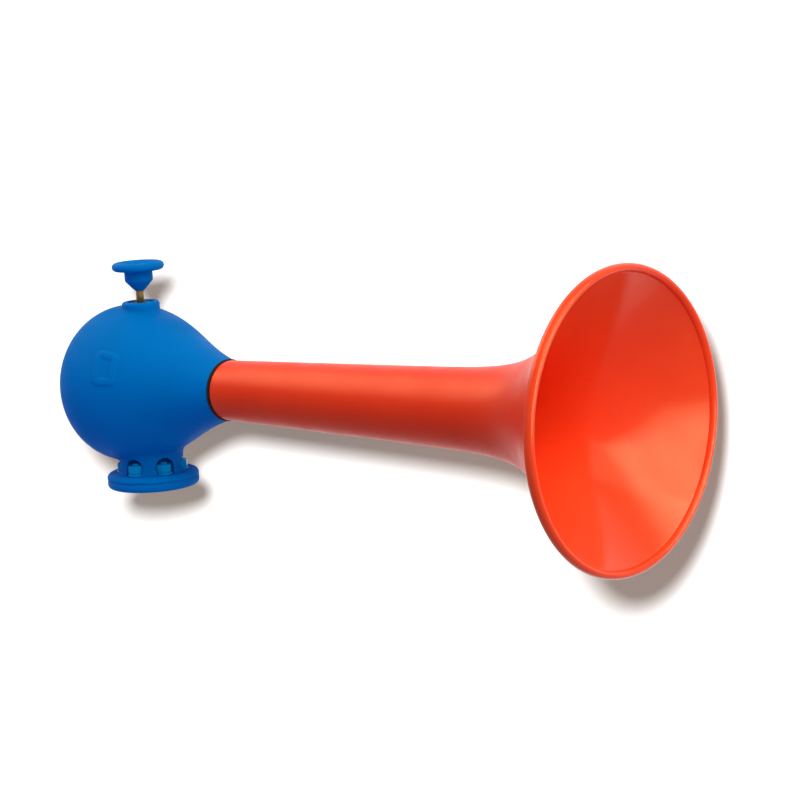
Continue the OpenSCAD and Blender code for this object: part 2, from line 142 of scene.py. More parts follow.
FRAME_X, FRAME_TURN, FRAME_R, FRAME_W, FRAME_H = 11.5, math.radians(21), 57.0, 9.5, 13.0
FRAME_CORNER, FRAME_BAND, FRAME_RISE, FRAME_SLOPE = 5.0, 2.7, 0.8, 2.6
NECK_R, NECK_TOP, NECK_FILLET, NECK_FOOT = 24.3, 40.0, 3.5, 4.0
FLANGE_R, FLANGE_TOP, EDGE_R = span("inlet_plate", "y", 1000)[1], FLANGE_Z + 5.0, 3.6
BOSS_R, BOSS_RIM, BOSS_FOOT, RECESS_R, RECESS_Z = 14.5, 2.2, 2.4, 10.8, BOSS_TOP - 6.0
STUD_RING_R, STUD_TURN, STUDS = 21.0, math.radians(-20), 6
STUD_HOLE_R, STUD_HOLE_TOP, STUD_TOP = 3.6, 13.0, span("flange_studs", "z", 1000)[1]
NICHE_R, NICHE_FLOOR = 7.5, FLANGE_TOP - 0.4
HOLLOW_END, TOWER_R, TOWER_TOP, SLEEVE_R, SLEEVE_LOW = 58.0, 15.0, 46.5, 12.0, 111.5
PAD_R, PAD_TOP = 28.5, STUD_TOP + 7.75
THROAT_R, THROAT_BACK, NOSE_BORE_R, REED_LEDGE = 14.0, 35.0, 17.0, 60.0
CAVITY_R, CAVITY_TOP, SEAT_WAY_R, SEAT_WAY_LOW, SEAT_WAY_TOP = 11.0, 44.0, 8.5, 40.0, 48.0
STEM_HOLE_R, STEM_HOLE_LOW, GLAND_BORE_R, GLAND_BORE_LOW = 3.4, 110.0, 8.0, 114.0


def cast_body(x, y, z):
    """Signed distance to the casting's skin."""
    away = np.hypot(y, z - AXIS_Z)
    post = np.hypot(x, y)
    chest = chest_distance(x, away)
    # Bare raised frame on the near side
    u = np.abs(x - FRAME_X) - (FRAME_W - FRAME_CORNER)
    v = np.abs((np.arctan2(z - AXIS_Z, -y) - FRAME_TURN) * FRAME_R) - (FRAME_H - FRAME_CORNER)
    plate = np.hypot(np.maximum(u, 0), np.maximum(v, 0)) + np.minimum(np.maximum(u, v), 0) - FRAME_CORNER
    band = np.abs(plate + FRAME_BAND) - FRAME_BAND
    rise = np.clip(0.5 - band / FRAME_SLOPE, 0, 1)
    skin = chest - FRAME_RISE * rise * rise * (3 - 2 * rise) * (y < 0)
    # Outside
    body = joined(skin, up_to(post, NECK_R, z, NECK_TOP), NECK_FILLET)
    body = joined(body, shared(post - FLANGE_R, z - FLANGE_TOP, EDGE_R), NECK_FOOT)
    boss = shared(onward(post, BOSS_R, z, AXIS_Z), z - BOSS_TOP, BOSS_RIM)
    body = joined(body, boss, BOSS_FOOT)
    body = shared(body, FLANGE_Z - z, edge=0.3)
    # Inside, with the tower for the valve, the pads over the studs and the sleeve for the gland
    hollow = np.maximum(chest + BODY_WALL, x - HOLLOW_END)
    pads = np.maximum(up_to(post, PAD_R, z, PAD_TOP), chest + BODY_WALL / 2)
    for rib in (up_to(post, TOWER_R, z, TOWER_TOP), pads, onward(post, SLEEVE_R, z, SLEEVE_LOW)):
        hollow = less(hollow, rib, edge=1.0)
    body = less(body, hollow, edge=0.5)
    bore = np.minimum(onward(away, THROAT_R, x, THROAT_BACK), onward(away, NOSE_BORE_R, x, REED_LEDGE))
    body = less(body, bore, edge=0.5)
    # Valve cavity with the seat's ledge, and the gland's bore and recess
    seat_way = np.maximum(up_to(post, SEAT_WAY_R, z, SEAT_WAY_TOP), SEAT_WAY_LOW - z)
    body = less(body, np.minimum(up_to(post, CAVITY_R, z, CAVITY_TOP), seat_way), edge=0.4)
    gland = onward(post, STEM_HOLE_R, z, STEM_HOLE_LOW)
    gland = np.minimum(gland, onward(post, GLAND_BORE_R, z, GLAND_BORE_LOW))
    gland = np.minimum(gland, onward(post, RECESS_R, z, RECESS_Z))
    body = less(body, gland, edge=0.8)
    # Arched niches and the holes for the studs, all brought round to one of them
    turn = np.arctan2(y, x) - STUD_TURN
    pitch = 2 * math.pi / STUDS
    turn = turn - pitch * np.round(turn / pitch)
    off = np.hypot(post * np.cos(turn) - STUD_RING_R, post * np.sin(turn))
    arch = np.hypot(off, np.maximum(z - (STUD_TOP - NICHE_R / 2), 0)) - NICHE_R
    body = less(body, shared(arch, NICHE_FLOOR - z, edge=0.6), edge=0.8)
    return less(body, up_to(off, STUD_HOLE_R, z, STUD_HOLE_TOP), edge=0.3)


def skin_of(solid, low, high, step):
    """Net of quads over the zero level of a distance, one point to each cell that the skin crosses."""
    axes = [np.arange(a, b + step, step) for a, b in zip(low, high)]
    value = solid(*np.meshgrid(*axes, indexing="ij"))
    inside = value < 0
    count = sum(inside[i:i - 1 or None, j:j - 1 or None, k:k - 1 or None].astype(np.int8)
                for i in (0, 1) for j in (0, 1) for k in (0, 1))
    crossed = (count > 0) & (count < 8)
    number = np.full(crossed.shape, -1)
    number[crossed] = np.arange(crossed.sum())
    points = np.array(low) + (np.argwhere(crossed) + 0.5) * step
    quads = []
    for d in range(3):
        a, b = (d + 1) % 3, (d + 2) % 3
        first = np.take(inside, range(inside.shape[d] - 1), d)
        change = np.argwhere(first != np.take(inside, range(1, inside.shape[d]), d))
        change = change[(change[:, a] > 0) & (change[:, b] > 0)
                        & (change[:, a] < crossed.shape[a]) & (change[:, b] < crossed.shape[b])]
        ring = []
        for da, db in ((1, 1), (0, 1), (0, 0), (1, 0)):
            cell = change.copy()
            cell[:, a] -= da
            cell[:, b] -= db
            ring.append(number[tuple(cell.T)])
        ring = np.stack(ring, 1)
        out = first[tuple(change.T)]
        quads.append(np.where(out[:, None], ring, ring[:, ::-1]))
    return points, np.concatenate(quads)


def slope_of(solid, points, nudge=0.03):
    """How the distance grows along x, y and z at each point."""
    grade = np.empty_like(points)
    for d in range(3):
        step = np.zeros(3)
        step[d] = nudge
        grade[:, d] = (solid(*(points + step).T) - solid(*(points - step).T)) / (2 * nudge)
    return grade


def settled(solid, points, quads, step, rounds=4, pulls=3, flattest=0.2):
    """Evens out the net along the skin and brings each point back onto it."""
    edges = np.concatenate([quads[:, [i, (i + 1) % 4]] for i in range(4)])
    edges = np.concatenate([edges, edges[:, ::-1]])
    total = np.bincount(edges[:, 0], minlength=len(points))[:, None]
    for turn in range(rounds):
        for _ in range(pulls):
            grade = slope_of(solid, points)
            far = solid(*points.T)[:, None] / np.maximum((grade ** 2).sum(1, keepdims=True), flattest)
            points = points - np.clip(far * grade, -step / 2, step / 2)
        if turn < rounds - 1:
            ends = points[edges[:, 1]]
            middle = np.stack([np.bincount(edges[:, 0], ends[:, d], len(points)) for d in range(3)], 1)
            shift = 0.5 * (middle / total - points)
            grade /= np.maximum(np.linalg.norm(grade, axis=1, keepdims=True), 1e-6)
            points = points + shift - (shift * grade).sum(1, keepdims=True) * grade
    return points


def piece(name, mesh, material=None):
    """A finished piece from its mesh, at the origin."""
    if material:
        mesh.materials.clear()
        mesh.materials.append(material)
    made = bpy.data.objects.new(name, mesh)
    bpy.context.collection.objects.link(made)
    return made


def smooth(mesh, angle):
    """Smooth shading, with an edge kept where faces meet at more than that angle in degrees."""
    mesh.shade_smooth()
    mesh.set_sharp_from_angle(angle=math.radians(angle))


def finished(made):
    """Works the object's modifiers into a plain mesh."""
    bpy.context.view_layer.update()
    whole = bpy.data.meshes.new_from_object(made.evaluated_get(bpy.context.evaluated_depsgraph_get()))
    made.modifiers.clear()
    made.data = whole


def new_material(name):
    """A material, its tree, its shader and the place on the piece."""
    made = bpy.data.materials.new(name)
    made.use_nodes = True
    tree = made.node_tree
    place = tree.nodes.new("ShaderNodeTexCoord").outputs["Object"]
    return made, tree, tree.nodes["Principled BSDF"], place


def noise(tree, place, scale, detail):
    texture = tree.nodes.new("ShaderNodeTexNoise")
    texture.inputs["Scale"].default_value = scale
    texture.inputs["Detail"].default_value = detail
    tree.links.new(place, texture.inputs["Vector"])
    return texture.outputs["Fac"]


def two_tone(tree, source, *stops):
    """Colour between two shades, each given with its place on the source's scale."""
    ramp = tree.nodes.new("ShaderNodeValToRGB")
    for element, (position, shade) in zip(ramp.color_ramp.elements, stops):
        element.position = position
        element.color = (*shade, 1)
    tree.links.new(source, ramp.inputs["Fac"])
    return ramp.outputs["Color"]


def ranged(tree, source, before, after):
    """The source brought from one range to another."""
    node = tree.nodes.new("ShaderNodeMapRange")
    for socket, value in zip(("From Min", "From Max", "To Min", "To Max"), (*before, *after)):
        node.inputs[socket].default_value = value
    tree.links.new(source, node.inputs["Value"])
    return node.outputs["Result"]


def bumped(tree, shader, height, strength, depth):
    bump = tree.nodes.new("ShaderNodeBump")
    bump.inputs["Strength"].default_value = strength
    bump.inputs["Distance"].default_value = depth
    tree.links.new(height, bump.inputs["Height"])
    tree.links.new(bump.outputs["Normal"], shader.inputs["Normal"])


# Range in which most of a noise lies
NOISE_RANGE = (0.3, 0.7)


def enamel(name, colour, deep, rough, grain, peel, level, tint):
    """Enamel: slow drift of the colour, painted shade in the corners and a painted highlight on the edges,
    a soft orange-peel skin and uneven gloss.
    """
    made, tree, shader, place = new_material(name)
    shader.inputs["Specular IOR Level"].default_value = level
    shader.inputs["Specular Tint"].default_value = (*tint, 1)
    drift = two_tone(tree, noise(tree, place, scale=22, detail=4), (0.3, deep), (0.7, colour))
    # Painted shade and highlight: the colour is darker in the corners and hollows and lighter on sharp
    # edges
    form = tree.nodes.new("ShaderNodeNewGeometry").outputs["Pointiness"]
    shade = tree.nodes.new("ShaderNodeVectorMath")
    shade.operation = "SCALE"
    tree.links.new(drift, shade.inputs[0])
    tree.links.new(ranged(tree, form, (0.44, 0.56), (0.82, 1.18)), shade.inputs["Scale"])
    tree.links.new(shade.outputs["Vector"], shader.inputs["Base Color"])
    cloud = noise(tree, place, scale=70, detail=5)
    gloss = ranged(tree, cloud, NOISE_RANGE, (rough * 0.9, rough * 1.12))
    tree.links.new(gloss, shader.inputs["Roughness"])
    bumped(tree, shader, noise(tree, place, grain, detail=2), peel, depth=0.0004)
    return made


blue_enamel = enamel("blue_enamel", (0.0, 0.158, 0.58), (0.0, 0.142, 0.53), rough=0.6, grain=420,
                     peel=0.08, level=0.06, tint=(0.0, 0.6, 1.0))
SKIN_STEP, NET_BACK, NET_SIDE, NET_MARGIN = 1.0, -67.0, 63.0, 2.0
HIDDEN_DEPTH, HIDDEN_SHARE = 4.5, 0.58
low = (NET_BACK, -NET_SIDE, FLANGE_Z - NET_MARGIN)
high = (JOINT_X + NET_MARGIN, NET_SIDE, BOSS_TOP + NET_MARGIN)
net, faces = skin_of(cast_body, low, high, SKIN_STEP)
net = settled(cast_body, net, faces, SKIN_STEP)
mesh = bpy.data.meshes.new("wind_chest")
mesh.from_pydata((net / 1000).tolist(), [], faces.tolist())
smooth(mesh, angle=60)
wind_chest = piece("wind_chest", mesh, blue_enamel)
# The walls of the hollow are thinned out, because nothing sees them
hidden = wind_chest.vertex_groups.new(name="hollow")
depth = chest_distance(net[:, 0], np.hypot(net[:, 1], net[:, 2] - AXIS_Z))
hidden.add(np.nonzero(depth < -HIDDEN_DEPTH)[0].tolist(), 1.0, "REPLACE")
thin = wind_chest.modifiers.new("thin", "DECIMATE")
thin.vertex_group, thin.vertex_group_factor, thin.ratio = "hollow", 1000, HIDDEN_SHARE
finished(wind_chest)
wind_chest.vertex_groups.clear()
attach(wind_chest, "horn")
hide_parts("housing")

# Reed: a brass block and a closed brass pipe with a slot, a bronze tongue that beats on the slot,
# and a steel clamp with two screws. It sits on a ledge in the nose, behind the trumpet.


def metal(name, colour, stain, rough, scratch, turned):
    """Bare metal: tarnish in clouds, and fine marks round or along the piece from the tool."""
    made, tree, shader, place = new_material(name)
    shader.inputs["Metallic"].default_value = 1.0
    cloud = noise(tree, place, scale=160, detail=6)
    tree.links.new(two_tone(tree, cloud, (0.35, stain), (0.65, colour)), shader.inputs["Base Color"])
    stretch = tree.nodes.new("ShaderNodeMapping")
    stretch.inputs["Scale"].default_value = turned
    tree.links.new(place, stretch.inputs["Vector"])
    marks = noise(tree, stretch.outputs["Vector"], scale=1.0, detail=3)
    gloss = ranged(tree, marks, NOISE_RANGE, (rough - 0.08, rough + 0.1))
    tree.links.new(gloss, shader.inputs["Roughness"])
    bumped(tree, shader, marks, scratch, depth=0.0001)
    return made


def dull(name, colour, worn, grain, rough, lift):
    """Rubber or pressed fibre: a matt ground with specks of a second shade and a rough skin."""
    made, tree, shader, place = new_material(name)
    shader.inputs["Specular IOR Level"].default_value = 0.12
    speck = noise(tree, place, grain, detail=5)
    tree.links.new(two_tone(tree, speck, (0.4, colour), (0.75, worn)), shader.inputs["Base Color"])
    matt = ranged(tree, speck, NOISE_RANGE, (rough - 0.1, rough + 0.1))
    tree.links.new(matt, shader.inputs["Roughness"])
    bumped(tree, shader, speck, lift, depth=0.0002)
    return made


def finish_node(material, *names):
    """Gives CAD nodes that stay as they are their material."""
    for name in names:
        nodes[name].data.materials.clear()
        nodes[name].data.materials.append(material)


ALONG_X, ALONG_Y, ALONG_Z, ALL_WAYS = (2500, 60, 60), (60, 2500, 60), (60, 60, 2500), (900, 900, 900)
BRASS, BRASS_STAIN = (0.56, 0.37, 0.12), (0.33, 0.19, 0.05)
turned_brass = metal("turned_brass", BRASS, BRASS_STAIN, rough=0.3, scratch=0.15, turned=ALONG_X)
tongue_bronze = metal("tongue_bronze", (0.45, 0.27, 0.12), (0.29, 0.16, 0.07),
                      rough=0.28, scratch=0.1, turned=ALONG_Y)
bright_steel = metal("bright_steel", (0.55, 0.56, 0.58), (0.4, 0.4, 0.42),
                     rough=0.3, scratch=0.12, turned=ALL_WAYS)
pressed_fibre = dull("pressed_fibre", (0.035, 0.026, 0.02), (0.09, 0.07, 0.055),
                     grain=700, rough=0.8, lift=0.5)
finish_node(turned_brass, "reed_block", "reed_pipe")
finish_node(tongue_bronze, "reed_tongue")
finish_node(bright_steel, "reed_clamp", "reed_screws")
finish_node(pressed_fibre, "reed_gasket")

# Seal: a black rubber ring squeezed between the end of the nose and the trumpet's shoulder, so
# that its edge bulges a little.
TURNED_SHARP = 38


def turned(name, outline, around=128, axis="z", middle=(0.0, 0.0, 0.0)):
    """Mesh of a closed outline of radius and height, turned round the valve's or the horn's axis."""
    outline = np.array(outline)
    turn = np.linspace(0, 2 * math.pi, around, endpoint=False)
    out = outline[:, 0, None] * np.cos(turn)
    side = outline[:, 0, None] * np.sin(turn)
    up = np.repeat(outline[:, 1, None], around, 1)
    grid = np.stack([out, side, up] if axis == "z" else [up, out, side], -1) + np.array(middle)
    rows = len(outline)
    n, k = np.meshgrid(np.arange(rows), np.arange(around), indexing="ij")
    n2, k2 = (n + 1) % rows, (k + 1) % around
    quads = np.stack([n * around + k, n * around + k2, n2 * around + k2, n2 * around + k], -1)
    shape = bmesh.new()
    corners = [shape.verts.new(p) for p in grid.reshape(-1, 3)]
    for q in quads.reshape(-1, 4):
        shape.faces.new([corners[i] for i in q])
    bmesh.ops.remove_doubles(shape, verts=shape.verts, dist=1e-7)
    bmesh.ops.recalc_face_normals(shape, faces=shape.faces)
    made = bpy.data.meshes.new(name)
    shape.to_mesh(made)
    shape.free()
    smooth(made, TURNED_SHARP)
    return made


def arc(centre, radius, start, end, steps=8):
    """Points of an arc between two angles in degrees."""
    a = np.radians(np.linspace(start, end, steps))
    return [(centre[0] + radius * math.cos(t), centre[1] + radius * math.sin(t)) for t in a]


black_rubber = dull("black_rubber", (0.006, 0.006, 0.007), (0.02, 0.02, 0.022),
                    grain=900, rough=0.55, lift=0.25)
AXIS = (0.0, 0.0, AXIS_Z / 1000)
SEAL_X0, SEAL_X1 = span("horn_seal", "x")
SEAL_IN, SEAL_BULGE = NOSE_BORE_R / 1000, 0.0005
SEAL_OUT = JOINT_R / 1000 - SEAL_BULGE
seal_outline = [(SEAL_IN, SEAL_X0), (SEAL_IN, SEAL_X1)]
seal_outline += arc((SEAL_OUT, (SEAL_X0 + SEAL_X1) / 2), (SEAL_X1 - SEAL_X0) / 2, 90, -90, 10)
seal = piece("seal_ring", turned("seal_ring", seal_outline, axis="x", middle=AXIS), black_rubber)
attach(seal, "horn")
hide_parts("horn_seal")

# Trumpet: spun in one piece, a slow cone that opens into the bell by one rule, with the edge
# rolled into a bead and a spigot that enters the nose. The enamel is glossy inside the bell and
# duller outside.


class Field:
    """Sums on the fields of a node tree, so that a rule reads as it is written."""

    def __init__(self, tree, socket):
        self.tree, self.socket = tree, socket

    def sum(self, kind, *others):
        """One math node of that kind on this field and others or plain numbers."""
        node = self.tree.nodes.new("ShaderNodeMath")
        node.operation = kind
        for socket, value in zip(node.inputs, (self, *others)):
            if isinstance(value, Field):
                self.tree.links.new(value.socket, socket)
            else:
                socket.default_value = value
        return Field(self.tree, node.outputs[0])

    def __add__(self, other):
        return self.sum("ADD", other)

    def __sub__(self, other):
        return self.sum("SUBTRACT", other)

    def __rsub__(self, other):
        return (self * -1).sum("ADD", other)

    def __mul__(self, other):
        return self.sum("MULTIPLY", other)

    __radd__, __rmul__ = __add__, __mul__

    def __truediv__(self, other):
        return self.sum("DIVIDE", other)

    def __pow__(self, other):
        return self.sum("POWER", other)

    def cos(self):
        return self.sum("COSINE")

    def sin(self):
        return self.sum("SINE")

    def exp(self):
        return self.sum("EXPONENT")

    def log(self):
        return self.sum("LOGARITHM", math.e)

    def root(self):
        return self.sum("SQRT")

    def ramp(self, low, high):
        """0 up to low, then evenly up to 1 at high."""
        return ((self - low) / (high - low)).sum("MAXIMUM", 0.0).sum("MINIMUM", 1.0)

    def past(self, limit, before, after):
        """The first field up to the limit, the second beyond it."""
        return before + self.sum("GREATER_THAN", limit) * (after - before)


def new_tree(name, sizes):
    """A node tree with a named input for each size, and the fields of those inputs."""
    tree = bpy.data.node_groups.new(name, "GeometryNodeTree")
    tree.interface.new_socket("Geometry", in_out="INPUT", socket_type="NodeSocketGeometry")
    for size in sizes:
        tree.interface.new_socket(size, in_out="INPUT", socket_type="NodeSocketFloat")
    tree.interface.new_socket("Geometry", in_out="OUTPUT", socket_type="NodeSocketGeometry")
    start = tree.nodes.new("NodeGroupInput")
    return tree, {size: Field(tree, start.outputs[size]) for size in sizes}


def sheet_of(tree, across, rows):
    """A grid to be bent into shape, with its turn in radians and its row as fields."""
    grid = tree.nodes.new("GeometryNodeMeshGrid")
    grid.inputs["Size X"].default_value = grid.inputs["Size Y"].default_value = 1.0
    grid.inputs["Vertices X"].default_value = across + 1
    grid.inputs["Vertices Y"].default_value = rows + 1
    split = tree.nodes.new("ShaderNodeSeparateXYZ")
    tree.links.new(tree.nodes.new("GeometryNodeInputPosition").outputs[0], split.inputs[0])
    turn = (Field(tree, split.outputs["X"]) + 0.5) * (2 * math.pi)
    row = (Field(tree, split.outputs["Y"]) + 0.5) * rows
    return grid.outputs["Mesh"], turn, row


def bent(tree, sheet, x, y, z):
    """The grid with its points moved to x, y and z, and its seam closed."""
    place = tree.nodes.new("ShaderNodeCombineXYZ")
    for socket, value in zip(place.inputs, (x, y, z)):
        tree.links.new(value.socket, socket)
    move = tree.nodes.new("GeometryNodeSetPosition")
    tree.links.new(sheet, move.inputs["Geometry"])
    tree.links.new(place.outputs[0], move.inputs["Position"])
    close = tree.nodes.new("GeometryNodeMergeByDistance")
    close.inputs["Distance"].default_value = 1e-7
    tree.links.new(move.outputs["Geometry"], close.inputs["Geometry"])
    return close.outputs["Geometry"]


def grown(name, tree, shape, sizes, material):
    """A piece from a tree: realized, given its material and worked into a plain mesh."""
    realize = tree.nodes.new("GeometryNodeRealizeInstances")
    paint = tree.nodes.new("GeometryNodeSetMaterial")
    paint.inputs["Material"].default_value = material
    end = tree.nodes.new("NodeGroupOutput")
    tree.links.new(shape, realize.inputs[0])
    tree.links.new(realize.outputs[0], paint.inputs["Geometry"])
    tree.links.new(paint.outputs[0], end.inputs[0])
    made = piece(name, bpy.data.meshes.new(name))
    grow = made.modifiers.new("grow", "NODES")
    grow.node_group = tree
    for socket in tree.interface.items_tree:
        if socket.in_out == "INPUT" and socket.name in sizes:
            grow[socket.identifier] = sizes[socket.name]
    finished(made)
    # The bare mesh leaves an empty slot in front of the tree's material
    made.data.materials.clear()
    made.data.materials.append(material)
    return made


SPIGOT_X, HORN_END = span("trumpet", "x")
BEAD_R, BEAD_L, BLEND, TAPER, BELL_DEPTH = 0.003, 0.004, 0.019, 0.028, 0.067
MOUTH_X, MOUTH_R, BELL_X = HORN_END - BEAD_L, span("trumpet", "y")[1] - BEAD_R, HORN_END - BELL_DEPTH
ROOT_X, ROOT_R, SHOULDER_ROUND = SEAL_X1, 0.0224, 0.0015
opening = BLEND * math.log1p(math.exp((MOUTH_X - BELL_X) / BLEND))
horn_sizes = {
    "Root radius": ROOT_R, "Root": ROOT_X, "Tube start": ROOT_X + SHOULDER_ROUND, "Taper": TAPER,
    "Bell start": BELL_X, "Blend": BLEND, "Mouth": MOUTH_X, "Wall": 0.002, "Bead height": BEAD_R,
    "Bead width": BEAD_L, "Axis height": AXIS_Z / 1000, "Spigot end": SPIGOT_X,
    "Spigot radius": 0.01697, "Bore radius": THROAT_R / 1000, "Throat length": 0.010,
    "Flare": (MOUTH_R - ROOT_R - TAPER * (MOUTH_X - ROOT_X)) / opening}
horn_tree, size = new_tree("spun_horn", horn_sizes)
# Rows at which the shoulder's rounding, the wall, the bead, the way back and the throat start
ROUND_ROW, WALL_ROW, BEAD_ROW, BACK_ROW, THROAT_ROW, ROWS = 3, 9, 119, 143, 243, 245
HORN_AROUND, CROWDING = 192, 1.7
sheet, turn, row = sheet_of(horn_tree, HORN_AROUND, ROWS)


def horn_radius(x):
    return (size["Root radius"] + size["Taper"] * (x - size["Root"])
            + size["Flare"] * size["Blend"] * (((x - size["Bell start"]) / size["Blend"]).exp() + 1).log())


def horn_slope(x):
    return size["Taper"] + size["Flare"] * (((size["Bell start"] - x) / size["Blend"]).exp() + 1) ** -1


def horn_inside(x):
    return horn_radius(x) - size["Wall"] * (horn_slope(x) ** 2 + 1).root()


shoulder = size["Tube start"] - size["Root"]
swing = row.ramp(ROUND_ROW, WALL_ROW) * (math.pi / 2)
BEAD_FROM, BEAD_TO = math.radians(222), math.radians(-92)
bead_turn = row.ramp(BEAD_ROW, BACK_ROW) * (BEAD_TO - BEAD_FROM) + BEAD_FROM
bead_x = size["Mouth"] + size["Bead width"] * bead_turn.cos()
bead_r = horn_radius(size["Mouth"]) + size["Bead height"] * bead_turn.sin()
out_share = 1 - (1 - row.ramp(WALL_ROW, BEAD_ROW)) ** CROWDING
back_share = row.ramp(BACK_ROW, THROAT_ROW) ** CROWDING
wall_end = size["Mouth"] + size["Bead width"] * math.cos(BEAD_FROM)
back_start = size["Mouth"] + size["Bead width"] * math.cos(BEAD_TO)
throat = size["Tube start"] + size["Throat length"]
wall_x = size["Tube start"] + (wall_end - size["Tube start"]) * out_share
back_x = back_start + (throat - back_start) * back_share
last = row.ramp(THROAT_ROW, THROAT_ROW + 1)
home = (size["Tube start"] - size["Spigot end"]) * row.ramp(THROAT_ROW + 1, ROWS)
x = size["Spigot end"] + (size["Root"] - size["Spigot end"]) * row.ramp(1, 2) + shoulder * (1 - swing.cos())
x = row.past(WALL_ROW, x, wall_x)
x = row.past(BEAD_ROW, x, bead_x)
x = row.past(BACK_ROW, x, back_x)
x = row.past(THROAT_ROW, x, throat - size["Throat length"] * last - home)
r = (size["Bore radius"] + (size["Spigot radius"] - size["Bore radius"]) * row.ramp(0, 1)
     + (size["Root radius"] - shoulder - size["Spigot radius"]) * row.ramp(2, 3) + shoulder * swing.sin())
r = row.past(WALL_ROW, r, horn_radius(wall_x))
r = row.past(BEAD_ROW, r, bead_r)
r = row.past(BACK_ROW, r, horn_inside(back_x))
r = row.past(THROAT_ROW, r, horn_inside(throat) + (size["Bore radius"] - horn_inside(throat)) * last)
RED_GLOSS = (1.0, 0.8, 0.65)
# The bell's red is a lighter, more orange copy of the outside's red, painted light
lit_red_enamel = enamel("lit_red_enamel", (0.95, 0.057, 0.015), (0.90, 0.049, 0.012), rough=0.16, grain=90,
                    peel=0.01, level=0.14, tint=RED_GLOSS)
weathered_red = enamel("weathered_red", (0.95, 0.040, 0.007), (0.90, 0.033, 0.005), rough=0.38, grain=90,
                       peel=0.02, level=0.11, tint=RED_GLOSS)
shell = bent(horn_tree, sheet, x, r * turn.cos(), size["Axis height"] + r * turn.sin())
horn = grown("trumpet_shell", horn_tree, shell, horn_sizes, lit_red_enamel)
smooth(horn.data, angle=40)
# The outside, which weather and hands reach, is duller than the bell's inside and edge. The inside and edge
# also take a more orange copy of the red, painted light on the bell
horn.data.materials.append(weathered_red)
for face in horn.data.polygons:
    away = face.center - Vector((face.center.x, 0, AXIS[2]))
    face.material_index = int(face.center.x < MOUTH_X - BEAD_L and face.normal.dot(away) > 0)
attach(horn, "horn")
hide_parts("trumpet")

# Inlet valve: a brass seat pressed into the neck from below, a rubber-faced brass disc that closes
# up against it, and the lock nut that holds the disc on the stem.
seat_brass = metal("seat_brass", BRASS, BRASS_STAIN, rough=0.3, scratch=0.15, turned=ALONG_Z)
finish_node(seat_brass, "valve_seat", "valve_disc", "valve_lock_nut")
finish_node(black_rubber, "valve_washer")

# Stem: a drawn brass rod through the gland, reduced at its ends for the disc and the knob, and
# polished by the packing.
STEM_R, STEM_END_R, CHAMFER = span("valve_stem", "y")[1], 0.0024, 0.0003
STEM_LOW, STEM_TOP = span("valve_stem", "z")
STEM_SHOULDER, STEM_HIGH = span("valve_washer", "z")[1], span("knob", "z")[0]
stem_outline = [
    (0, STEM_LOW), (STEM_END_R - CHAMFER, STEM_LOW), (STEM_END_R, STEM_LOW + CHAMFER),
    (STEM_END_R, STEM_SHOULDER), (STEM_R - CHAMFER, STEM_SHOULDER), (STEM_R, STEM_SHOULDER + CHAMFER),
    (STEM_R, STEM_HIGH - CHAMFER), (STEM_R - CHAMFER, STEM_HIGH), (STEM_END_R, STEM_HIGH),
    (STEM_END_R, STEM_TOP - CHAMFER), (STEM_END_R - CHAMFER, STEM_TOP), (0, STEM_TOP)]
stem_brass = metal("stem_brass", (0.17, 0.12, 0.05), (0.06, 0.04, 0.015),
                   rough=0.34, scratch=0.12, turned=ALONG_Z)
stem = piece("stem", turned("stem", stem_outline, around=48), stem_brass)
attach(stem, "plunger")
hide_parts("valve_stem")

# Return spring: steel wire wound between the inlet plate's spigot and the disc, which it lifts
# against the seat.
TRAVEL, WIRE_R = 0.006, 0.0006
SPRING_LOW, SPRING_HIGH = span("return_spring", "z")
spring_sizes = {"Coil radius": 0.0074, "Wire radius": WIRE_R, "Low end": SPRING_LOW + WIRE_R,
                "Height": SPRING_HIGH - SPRING_LOW - 2 * WIRE_R, "Turns": 4.5}
spring_tree, size = new_tree("wound_spring", spring_sizes)
coil = spring_tree.nodes.new("GeometryNodeCurveSpiral")
coil.inputs["Resolution"].default_value = 40
wire = spring_tree.nodes.new("GeometryNodeCurvePrimitiveCircle")
wire.inputs["Resolution"].default_value = 14
for node, socket, name in ((coil, "Rotations", "Turns"), (coil, "Start Radius", "Coil radius"),
                           (coil, "End Radius", "Coil radius"), (coil, "Height", "Height"),
                           (wire, "Radius", "Wire radius")):
    spring_tree.links.new(size[name].socket, node.inputs[socket])
tube = spring_tree.nodes.new("GeometryNodeCurveToMesh")
tube.inputs["Fill Caps"].default_value = True
spring_tree.links.new(coil.outputs[0], tube.inputs["Curve"])
spring_tree.links.new(wire.outputs["Curve"], tube.inputs["Profile Curve"])
raise_up = spring_tree.nodes.new("ShaderNodeCombineXYZ")
spring_tree.links.new(size["Low end"].socket, raise_up.inputs["Z"])
lift = spring_tree.nodes.new("GeometryNodeTransform")
spring_tree.links.new(tube.outputs[0], lift.inputs["Geometry"])
spring_tree.links.new(raise_up.outputs[0], lift.inputs["Translation"])
spring = grown("wound_spring", spring_tree, lift.outputs[0], spring_sizes, bright_steel)
smooth(spring.data, angle=40)
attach(spring, "horn")
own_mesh(spring)
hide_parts("return_spring")

# Inlet plate: a turned disc with a rounded edge under the flange, painted with it, and a spigot
# that enters the neck. The hole in the middle has a pipe thread for the air line.
painted_fibre = dull("painted_fibre", (0.0, 0.14, 0.52), (0.0, 0.16, 0.58), grain=500, rough=0.6, lift=0.4)
finish_node(painted_fibre, "flange_gasket")
PLATE_R, PLATE_EDGE, PLATE_EASE, PLATE_SPIGOT_R = FLANGE_R / 1000, EDGE_R / 1000, 0.0005, 0.01097
PLATE_T, PLATE_SPIGOT_TOP = span("flange_gasket", "z")[0], span("inlet_plate", "z")[1]
PIPE_R, PIPE_DEPTH, PIPE_PITCH, PIPE_L = 0.007475, 0.00080, 0.001337, 0.014
AIRWAY_R, AIRWAY_EASE = 0.005, 0.0004
ROOT_CIRCLE_R = PIPE_R + PIPE_DEPTH
PIPE_MOUTH_R = ROOT_CIRCLE_R + 0.0006
plate_outline = [(PIPE_MOUTH_R, 0.0)]
